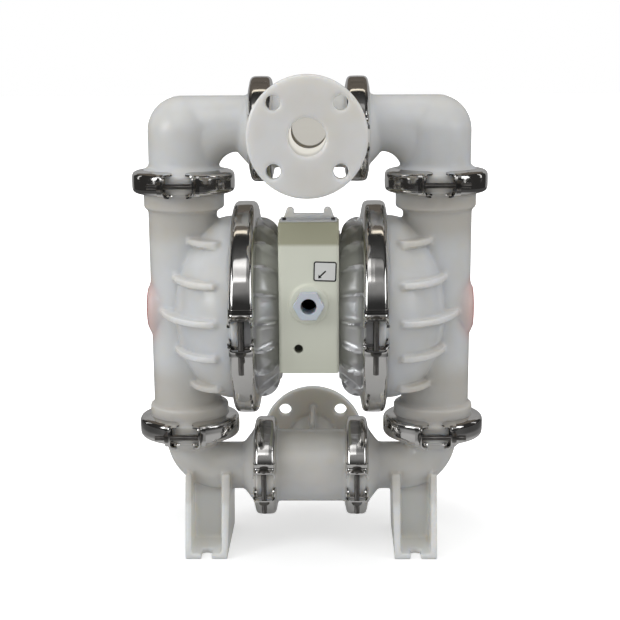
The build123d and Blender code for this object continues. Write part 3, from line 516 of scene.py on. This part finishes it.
polished_steel, tree, shader = new_material("polished_steel")
shader.inputs["Metallic"].default_value = 1.0
place = add_node(tree, "ShaderNodeTexCoord").outputs["Object"]
smears = add_node(tree, "ShaderNodeTexNoise", None,
                  {"Vector": place, "Scale": 45.0, "Detail": 5.0, "Roughness": 0.6})
wave = add_node(tree, "ShaderNodeTexNoise", None, {"Vector": place, "Scale": 26.0, "Detail": 1.0})
stained(tree, shader, smears.outputs["Fac"], (0.60, 0.585, 0.565, 1), (0.70, 0.69, 0.675, 1),
        smoothest=0.05, roughest=0.14)
bumped(tree, shader, wave.outputs["Fac"], strength=0.5, depth=0.0012)


def bend_points(start, corner, end, steps):
    points = []
    for index in range(steps + 1):
        t = index / steps
        points.append(start.lerp(corner, t).lerp(corner.lerp(end, t), t))
    return points


def channel_section(form):
    """Half of the section, from the foot of a flank to the middle of the crown: across and radius."""
    foot = Vector((form["mouth"], form["radius"] - form["depth"]))
    knee = Vector((form["crown"], form["radius"] - knee_drop))
    middle = Vector((0, form["radius"]))
    into_knee = knee.lerp(foot, form["corner"] / (knee - foot).length)
    out_of_knee = knee.lerp(middle, form["corner"] / (knee - middle).length)
    flank = [foot.lerp(into_knee, step / 5) for step in range(5)]
    crown = [out_of_knee.lerp(middle, step / 4) for step in range(1, 5)]
    return flank + bend_points(into_knee, knee, out_of_knee, 6) + crown


def grid_faces(rows, columns):
    faces = []
    for row in range(rows - 1):
        for column in range(columns - 1):
            first = row * columns + column
            faces.append((first, first + 1, first + columns + 1, first + columns))
    return faces


def channel_sheet(form):
    half = channel_section(form)
    section = half + [Vector((-point.x, point.y)) for point in reversed(half[:-1])]
    steps = form["steps"]
    points = []
    for step in range(steps + 1):
        share = step / steps
        for across, radius in section:
            flank_share = min(1.0, max(0.0, (form["radius"] - radius) / form["corner"]))
            foot_glow_share = max(0.0, (form["radius"] - radius) / form["depth"] - foot_from) / (1 - foot_from)
            end_height = plate_gap + (ear_gap - plate_gap) * flank_share + foot_lift * foot_glow_share ** 2
            start_angle = math.asin(end_height / radius)
            angle = start_angle + share * (math.pi - 2 * start_angle)
            points.append((across, radius * math.cos(angle), radius * math.sin(angle)))
    return points, grid_faces(steps + 1, len(section))


def end_cup(form, end):
    """The bolting plate: the crown swings outwards in a wide bend, and its sides curl down into lips."""
    width = form["crown"] + plate_side_gap
    curl = form["corner"]
    bend = form["bend"]
    radius = form["radius"]
    sheet_top = plate_gap + form["sheet"]
    path = [(Vector((radius - crown_inset, sheet_top + bend + plate_overlap)), Vector((1, 0)))]
    corner = bend_points(Vector((radius, sheet_top + bend)), Vector((radius, sheet_top)),
                         Vector((radius + bend, sheet_top)), 10)
    for step, point in enumerate(corner):
        turn = math.pi / 2 * step / 10
        path.append((point, Vector((math.cos(turn), math.sin(turn)))))
    flat = bolt_offset + plate_past_bolt - bend
    for step in range(1, 5):
        path.append((Vector((radius + bend + flat * step / 4, sheet_top)), Vector((0, 1))))
    half = [Vector((share * (width - curl), 0)) for share in (0.0, 0.35, 0.7)]
    half += bend_points(Vector((width - curl, 0)), Vector((width, 0)), Vector((width, curl)), 6)
    half.append(Vector((width, curl + plate_lip)))
    section = [Vector((-point.x, point.y)) for point in reversed(half[1:])] + half
    points = []
    for index, (place, upward) in enumerate(path):
        rounding = max(0, index - len(path) + 3) * plate_corner
        for across, drop in section:
            inset = rounding * (abs(across) / width) ** 4
            out = place.x - upward.x * drop - inset
            points.append((across, end * out, place.y - upward.y * drop))
    faces = grid_faces(len(path), len(section))
    if end > 0:
        faces = [tuple(reversed(face)) for face in faces]
    return points, faces


def clamp_half(form, upper):
    points, faces = channel_sheet(form)
    for end in (-1, 1):
        more_points, more_faces = end_cup(form, end)
        first = len(points)
        points += more_points
        faces += [tuple(first + corner for corner in face) for face in more_faces]
    mesh = bpy.data.meshes.new("clamp_half")
    mesh.from_pydata(points, [], faces)
    if not upper:
        mesh.transform(Matrix.Rotation(math.pi, 4, "X"))
    return mesh


def joined_mesh(name, meshes):
    work = bmesh.new()
    for mesh in meshes:
        work.from_mesh(mesh)
    made = bpy.data.meshes.new(name)
    work.to_mesh(made)
    work.free()
    return made


def box_middle(*names):
    lows = [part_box(name)[0] for name in names]
    highs = [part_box(name)[1] for name in names]
    low = Vector([min(corner[axis] for corner in lows) for axis in range(3)])
    high = Vector([max(corner[axis] for corner in highs) for axis in range(3)])
    return (low + high) / 2


def clamp_piece(name, form, place, halves, replaced):
    mesh = joined_mesh(name, [clamp_half(form, upper) for upper in halves])
    mesh.transform(place)
    piece = add_piece(name, mesh)
    thick = piece.modifiers.new("sheet", "SOLIDIFY")
    thick.thickness = form["sheet"]
    thick.offset = -1
    settle(piece)
    piece.data.shade_smooth()
    piece.data.set_sharp_from_angle(angle=clamp_crease)
    piece.data.materials.append(polished_steel)
    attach(piece, "housing")
    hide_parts(replaced)


chamber_places = []
manifold_places = []
riser_places = []
for side in ("left", "right"):
    upper = f"chamber_clamp_upper_{side}"
    lower = f"chamber_clamp_lower_{side}"
    turn = Matrix.Rotation(chamber_clamp["turn"], 4, "X")
    place = Matrix.Translation(box_middle(upper, lower)) @ turn
    chamber_places.append(place)
    clamp_piece(upper + "_band", chamber_clamp, place, (True,), upper)
    clamp_piece(lower + "_band", chamber_clamp, place, (False,), lower)
    for node in (f"discharge_clamp_{side}", f"inlet_clamp_{side}"):
        turn = Matrix.Rotation(pipe_clamp["turn"], 4, "X")
        place = Matrix.Translation(box_middle(node)) @ turn
        manifold_places.append(place)
        clamp_piece(node + "_band", pipe_clamp, place, (True, False), node)
    for node in (f"riser_clamp_upper_{side}", f"riser_clamp_lower_{side}"):
        turn = Matrix.Rotation(math.radians(-90 if side == "right" else 90), 4, "Y")
        place = Matrix.Translation(box_middle(node)) @ turn
        riser_places.append(place)
        clamp_piece(node + "_band", pipe_clamp, place, (True, False), node)

# Carriage bolts and nuts of the clamps: threaded studs with domed heads, in plain steel gone dark.
# A nut sits under each lower plate, and the stud runs on past it.
bolt_radius = 0.0039
thread_pitch = 0.0014
thread_depth = 0.0006
thread_start = 0.0008
thread_sides = 14
head_radius = 0.0077
head_height = 0.0045
head_rim = 0.0009
nut_flats = 0.0127
nut_height = 0.0070
chamber_tail = 0.055
pipe_tail = 0.042
plate_sheet = 0.003
dome_sides = 28
nut_chamfer = 0.0009
nut_blunting = 0.99
nut_cap_share = 0.985
fastener_crease = math.radians(40)

fastener_steel, tree, shader = new_material("fastener_steel")
shader.inputs["Metallic"].default_value = 1.0
place = add_node(tree, "ShaderNodeTexCoord").outputs["Object"]
stains = add_node(tree, "ShaderNodeTexNoise", None, {"Vector": place, "Scale": 180.0, "Detail": 4.0})
stained(tree, shader, stains.outputs["Fac"], (0.10, 0.095, 0.09, 1), (0.20, 0.19, 0.18, 1),
        smoothest=0.22, roughest=0.42)


def lathe(name, profile, sides):
    """A closed solid turned about Z, from (radius, height) points that start and end on the axis."""
    points = []
    for radius, height in profile:
        for side in range(sides):
            angle = 2 * math.pi * side / sides
            points.append((radius * math.cos(angle), radius * math.sin(angle), height))
    faces = []
    for row in range(len(profile) - 1):
        for side in range(sides):
            after = (side + 1) % sides
            faces.append((row * sides + side, row * sides + after,
                          (row + 1) * sides + after, (row + 1) * sides + side))
    mesh = bpy.data.meshes.new(name)
    mesh.from_pydata(points, [], faces)
    work = bmesh.new()
    work.from_mesh(mesh)
    bmesh.ops.remove_doubles(work, verts=work.verts, dist=1e-7)
    bmesh.ops.recalc_face_normals(work, faces=work.faces)
    work.to_mesh(mesh)
    work.free()
    return mesh


def carriage_bolt(tail):
    head_bottom = plate_gap + plate_sheet
    rows = int((tail + head_bottom) / thread_pitch * 4)
    points = []
    for row in range(rows + 1):
        height = -tail + thread_start + (tail + head_bottom - thread_start) * row / rows
        for side in range(thread_sides):
            angle = 2 * math.pi * side / thread_sides
            turn = (height / thread_pitch + side / thread_sides) % 1.0
            radius = bolt_radius - 2 * thread_depth * abs(turn - 0.5)
            points.append((radius * math.cos(angle), radius * math.sin(angle), height))
    faces = []
    for row in range(rows):
        for side in range(thread_sides):
            after = (side + 1) % thread_sides
            faces.append((row * thread_sides + side, row * thread_sides + after,
                          (row + 1) * thread_sides + after, (row + 1) * thread_sides + side))
    faces.append(tuple(reversed(range(thread_sides))))
    faces.append(tuple(rows * thread_sides + side for side in range(thread_sides)))
    thread = bpy.data.meshes.new("thread")
    thread.from_pydata(points, [], faces)
    head_edge = head_bottom + head_rim
    dome = [(0, head_bottom), (head_radius, head_bottom), (head_radius, head_edge)]
    for step in range(1, 8):
        angle = math.pi / 2 * step / 7
        dome.append((head_radius * math.cos(angle), head_edge + (head_height - head_rim) * math.sin(angle)))
    return joined_mesh("carriage_bolt", [thread, lathe("dome", dome, dome_sides)])


def hexagon_nut():
    sides = 48
    corner = nut_flats / 2 / math.cos(math.pi / 6)
    top = -plate_gap - plate_sheet
    points = []
    for height, cap in ((top, True), (top - nut_chamfer, False), (top - nut_height + nut_chamfer, False),
                        (top - nut_height, True)):
        for side in range(sides):
            angle = 2 * math.pi * side / sides
            off_flat = (angle % (math.pi / 3)) - math.pi / 6
            radius = min(nut_flats / 2 / math.cos(off_flat), corner * nut_blunting)
            if cap:
                radius = min(radius, nut_flats / 2 * nut_cap_share)
            points.append((radius * math.cos(angle), radius * math.sin(angle), height))
    faces = []
    for row in range(3):
        for side in range(sides):
            after = (side + 1) % sides
            faces.append((row * sides + side, (row + 1) * sides + side,
                          (row + 1) * sides + after, row * sides + after))
    faces.append(tuple(range(sides)))
    faces.append(tuple(3 * sides + side for side in reversed(range(sides))))
    mesh = bpy.data.meshes.new("hexagon_nut")
    mesh.from_pydata(points, [], faces)
    return mesh


# Sets one copy of a fastener at each point, turned as the point says
set_group = bpy.data.node_groups.new("set_fasteners", "GeometryNodeTree")
set_group.interface.new_socket("Geometry", in_out="INPUT", socket_type="NodeSocketGeometry")
fastener_socket = set_group.interface.new_socket("Fastener", in_out="INPUT", socket_type="NodeSocketObject")
finish_socket = set_group.interface.new_socket("Finish", in_out="INPUT", socket_type="NodeSocketMaterial")
set_group.interface.new_socket("Geometry", in_out="OUTPUT", socket_type="NodeSocketGeometry")
start = add_node(set_group, "NodeGroupInput")
end = add_node(set_group, "NodeGroupOutput")
info = add_node(set_group, "GeometryNodeObjectInfo")
turn = add_node(set_group, "GeometryNodeInputNamedAttribute", {"data_type": "FLOAT_VECTOR"}, {"Name": "turn"})
rotation = add_node(set_group, "FunctionNodeEulerToRotation")
to_points = add_node(set_group, "GeometryNodeMeshToPoints")
copies = add_node(set_group, "GeometryNodeInstanceOnPoints")
real = add_node(set_group, "GeometryNodeRealizeInstances")
finish = add_node(set_group, "GeometryNodeSetMaterial")
set_group.links.new(start.outputs["Geometry"], to_points.inputs["Mesh"])
set_group.links.new(to_points.outputs["Points"], copies.inputs["Points"])
set_group.links.new(start.outputs["Fastener"], info.inputs["Object"])
set_group.links.new(info.outputs["Geometry"], copies.inputs["Instance"])
set_group.links.new(turn.outputs["Attribute"], rotation.inputs["Euler"])
set_group.links.new(rotation.outputs["Rotation"], copies.inputs["Rotation"])
set_group.links.new(copies.outputs["Instances"], real.inputs["Geometry"])
set_group.links.new(real.outputs["Geometry"], finish.inputs["Geometry"])
set_group.links.new(start.outputs["Finish"], finish.inputs["Material"])
set_group.links.new(finish.outputs["Geometry"], end.inputs["Geometry"])


def set_fasteners(name, fastener_mesh, places, material, node):
    template = add_piece(name + "_template", fastener_mesh)
    mesh = bpy.data.meshes.new(name)
    mesh.from_pydata([place.to_translation() for place in places], [], [])
    turns = mesh.attributes.new("turn", "FLOAT_VECTOR", "POINT")
    for index, place in enumerate(places):
        turns.data[index].vector = place.to_euler()
    piece = add_piece(name, mesh)
    modifier = piece.modifiers.new("set", "NODES")
    modifier.node_group = set_group
    modifier[fastener_socket.identifier] = template
    modifier[finish_socket.identifier] = material
    settle(piece)
    piece.data.shade_smooth()
    piece.data.set_sharp_from_angle(angle=fastener_crease)
    bpy.data.objects.remove(template)
    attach(piece, "housing")
    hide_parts(node)


def bolt_places(clamp_places, form):
    reach = form["radius"] + bolt_offset
    return [place @ Matrix.Translation((0, end * reach, 0)) for place in clamp_places for end in (-1, 1)]


for family, clamp_places, form, tail in (
        ("chamber", chamber_places, chamber_clamp, chamber_tail),
        ("riser", riser_places, pipe_clamp, pipe_tail),
        ("manifold", manifold_places, pipe_clamp, pipe_tail)):
    bolt_set = bolt_places(clamp_places, form)
    set_fasteners(f"{family}_bolts", carriage_bolt(tail), bolt_set, fastener_steel,
                  f"{family}_clamp_bolts")
    set_fasteners(f"{family}_nuts", hexagon_nut(), bolt_set, fastener_steel,
                  f"{family}_clamp_nuts")

# Centre block: moulded in a pale green plastic, with a round boss for the air inlet.
# Its edges are rounded. Painted shade darkens it low down and inside the ports, and a painted shadow darkens
# it above the shoulder.
block_voxel = 0.0015
block_rounds = 3
block_shoulder = 0.453
shoulder_fade = 0.003
block_ports = ((-0.014, 0.3137, 0.0060), (0.0, 0.3745, 0.0125))
port_edge = 0.0006
port_shadow = (0.02, 0.02, 0.015, 1)
low_shade_heights = (0.345, 0.245)
low_shade_share = 0.75
low_shade_colour = (0.60, 0.615, 0.505, 1)
shoulder_shadow_colour = (0.38, 0.375, 0.265, 1)
valve_voxel = 0.0013

block_plastic, tree, shader = new_material("block_plastic")
shader.inputs["Roughness"].default_value = 0.45
effect = add_node(tree, "ShaderNodeGroup", {"node_tree": cloud_group}, {"Scale": 9.0, "Band Scale": 60.0})
grain = add_node(tree, "ShaderNodeGroup", {"node_tree": pit_group}, {"Scale": 1400.0})
place = add_node(tree, "ShaderNodeTexCoord").outputs["Object"]
part = add_node(tree, "ShaderNodeSeparateXYZ", None, {"Vector": place}).outputs
tone = blend(tree, effect.outputs["Clouds"], (0.760, 0.775, 0.655, 1), (0.800, 0.812, 0.700, 1))
for port_x, port_z, port_radius in block_ports:
    from_port = off_line(tree, place, (1, 0, 1), (port_x, 0, port_z))
    inside = graded(tree, from_port, port_radius, port_radius - port_edge, kind="LINEAR")
    tone = blend(tree, inside, tone, port_shadow)
# Painted shade: the block grows darker towards the bottom
tone = blend(tree, graded(tree, part["Z"], *low_shade_heights, 0, low_shade_share), tone, low_shade_colour)
# Painted shadow over the block above the shoulder, where the discharge flange shades it
above = graded(tree, part["Z"], block_shoulder - shoulder_fade, block_shoulder + shoulder_fade)
feed(tree, shader.inputs["Base Color"], blend(tree, above, tone, shoulder_shadow_colour))
bumped(tree, shader, grain.outputs["Height"], strength=0.12, depth=0.0003)

for node, voxel in (("centre_block", block_voxel), ("air_valve_body", valve_voxel)):
    piece = rounded_copy(node, voxel, block_rounds)
    piece.data.materials.append(block_plastic)
    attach(piece, "housing")
    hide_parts(node)

# Air inlet bushing: a hexagon of bluish white plastic screwed into the boss.
# Inside it is a pipe thread.
bushing_voxel = 0.0006
bushing_rounds = 2

bushing_plastic, tree, shader = new_material("bushing_plastic")
shader.inputs["Roughness"].default_value = 0.30
shader.inputs["Subsurface Weight"].default_value = 0.3
shader.inputs["Subsurface Scale"].default_value = 0.004
effect = add_node(tree, "ShaderNodeGroup", {"node_tree": cloud_group}, {"Scale": 40.0, "Band Scale": 200.0})
tone = blend(tree, effect.outputs["Clouds"], (0.56, 0.61, 0.68, 1), (0.64, 0.69, 0.75, 1))
feed(tree, shader.inputs["Base Color"], tone)

piece = rounded_copy("air_inlet_bushing", bushing_voxel, bushing_rounds)
piece.data.materials.append(bushing_plastic)
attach(piece, "housing")
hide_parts("air_inlet_bushing")

# Cover on top of the block: see-through white plastic with two upright legs.
# Two screws hold it down.
cover_voxel = 0.0008
cover_rounds = 3

piece = rounded_copy("top_cover", cover_voxel, cover_rounds)
piece.data.materials.append(natural_plastic)
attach(piece, "housing")
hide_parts("top_cover")

# Label on the front of the block and the round discs on the end bosses: printed film, stuck on.
# The label shows a plain arrow in a frame, and the discs are bare red.
film_low, film_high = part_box("label_plates")
label_middle = Vector((0.0218, film_low.y, 0.4185))
label_half_width = 0.0152
label_half_height = 0.0132
label_corner = 0.003
label_border = 0.0017
label_tilt = math.radians(1.8)
label_face = -0.1126
label_back = -0.1119
film_step = 0.00002
arrow_scale = 0.75
arrow_shift = Vector((-0.003, -0.004))
disc_radius = 0.0295
disc_sides = 64
disc_thickness = 0.0006
disc_side = 0.0002
disc_edge = 0.0003
finish_spread = 0.08


def plain_finish(name, dark, light, roughness, metallic, scale):
    material, tree, shader = new_material(name)
    shader.inputs["Metallic"].default_value = metallic
    effect = add_node(tree, "ShaderNodeGroup", {"node_tree": pit_group}, {"Scale": scale}).outputs
    dark, light = (*dark, 1), (*light, 1)
    smoothest, roughest = roughness - finish_spread, roughness + finish_spread
    stained(tree, shader, effect["Shade"], dark, light, smoothest, roughest)
    bumped(tree, shader, effect["Height"], strength=0.15, depth=0.0003)
    return material


white_film = plain_finish("white_film", (0.74, 0.74, 0.72), (0.80, 0.80, 0.78), 0.35, 0.0, 900.0)
black_ink = plain_finish("black_ink", (0.004, 0.004, 0.004), (0.010, 0.010, 0.011), 0.5, 0.0, 900.0)
red_film = plain_finish("red_film", (0.55, 0.045, 0.040), (0.66, 0.070, 0.060), 0.4, 0.0, 700.0)


def round_rectangle(half_width, half_height, corner):
    points = []
    for centre_x, centre_z, first in ((1, 1, 0), (-1, 1, 90), (-1, -1, 180), (1, -1, 270)):
        for step in range(9):
            angle = math.radians(first + 90 * step / 8)
            points.append((centre_x * (half_width - corner) + corner * math.cos(angle),
                           centre_z * (half_height - corner) + corner * math.sin(angle)))
    return points


def slab(name, outline, front, back):
    count = len(outline)
    points = [(x, front, z) for x, z in outline] + [(x, back, z) for x, z in outline]
    faces = [tuple(range(count)), tuple(reversed(range(count, 2 * count)))]
    for index in range(count):
        after = (index + 1) % count
        faces.append((after, index, count + index, count + after))
    mesh = bpy.data.meshes.new(name)
    mesh.from_pydata(points, [], faces)
    return mesh


def label_layer(name, outline, depth):
    """One layer of the printed film, a hair in front of the one below."""
    mesh = slab(name, outline, label_face - depth * film_step, label_back)
    turn = Matrix.Rotation(label_tilt, 4, "Y")
    mesh.transform(Matrix.Translation((label_middle.x, 0, label_middle.z)) @ turn)
    return mesh


edge_outline = round_rectangle(label_half_width, label_half_height, label_corner)
field_outline = round_rectangle(label_half_width - label_border, label_half_height - label_border,
                                label_corner - label_border)
arrow_points = [(-0.0078, -0.0072), (-0.0015, -0.0062), (-0.0034, -0.0043), (0.0062, 0.0053),
                (0.0043, 0.0072), (-0.0053, -0.0024), (-0.0072, -0.0005)]
arrow_outline = [(x * arrow_scale + arrow_shift.x, z * arrow_scale + arrow_shift.y)
                 for x, z in reversed(arrow_points)]
for depth, (name, outline, material) in enumerate((("label_edge", edge_outline, black_ink),
                                                   ("label_field", field_outline, white_film),
                                                   ("label_arrow", arrow_outline, black_ink))):
    piece = add_piece(name, label_layer(name, outline, depth))
    piece.data.materials.append(material)
    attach(piece, "housing")
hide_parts("label_plates")
for side, x in (("left", film_low.x), ("right", film_high.x)):
    way = 1 if side == "right" else -1
    profile = [(0, -disc_thickness), (disc_radius, -disc_thickness), (disc_radius, -disc_side),
               (disc_radius - disc_edge, 0), (0, 0)]
    mesh = lathe("boss_disc", profile, disc_sides)
    turn = Matrix.Rotation(math.radians(90 * way), 4, "Y")
    mesh.transform(Matrix.Translation((x, 0, boss_height)) @ turn)
    piece = add_piece(f"boss_disc_{side}", mesh)
    piece.data.materials.append(red_film)
    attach(piece, "housing")

# The pieces inside and behind the pump keep their own shapes and take their own finishes.
# Rubber, white plastic, turned aluminium, ground steel, bronze and the sintered muffler.
black_rubber = plain_finish("black_rubber", (0.018, 0.018, 0.019), (0.035, 0.035, 0.036), 0.62, 0.0, 1100.0)
pale_rubber = plain_finish("pale_rubber", (0.62, 0.60, 0.53), (0.70, 0.68, 0.61), 0.42, 0.0, 800.0)
white_plastic = plain_finish("white_plastic", (0.74, 0.74, 0.72), (0.80, 0.80, 0.78), 0.42, 0.0, 800.0)
turned_aluminium = plain_finish("turned_aluminium", (0.60, 0.60, 0.61), (0.70, 0.70, 0.71), 0.30, 1.0, 1500.0)
ground_steel = plain_finish("ground_steel", (0.50, 0.50, 0.51), (0.60, 0.60, 0.61), 0.22, 1.0, 1800.0)
bronze = plain_finish("bronze", (0.42, 0.27, 0.10), (0.52, 0.35, 0.15), 0.34, 1.0, 1200.0)
sintered_black = plain_finish("sintered_black", (0.020, 0.020, 0.022), (0.05, 0.05, 0.052), 0.75, 0.0, 500.0)
finishes = {
    "elastomer": black_rubber,
    "ball_elastomer": pale_rubber,
    "white_plastic": white_plastic,
    "machined_aluminium": turned_aluminium,
    "shaft_steel": ground_steel,
    "bronze": bronze,
    "muffler_plastic": sintered_black,
    "fastener_steel": fastener_steel,
}
for row in frame["record"]["subparts"]:
    piece = nodes[row["node"]]
    if not piece.hide_render:
        material = finishes[row["material_slot"]]
        piece.data.materials.clear()
        piece.data.materials.append(material)
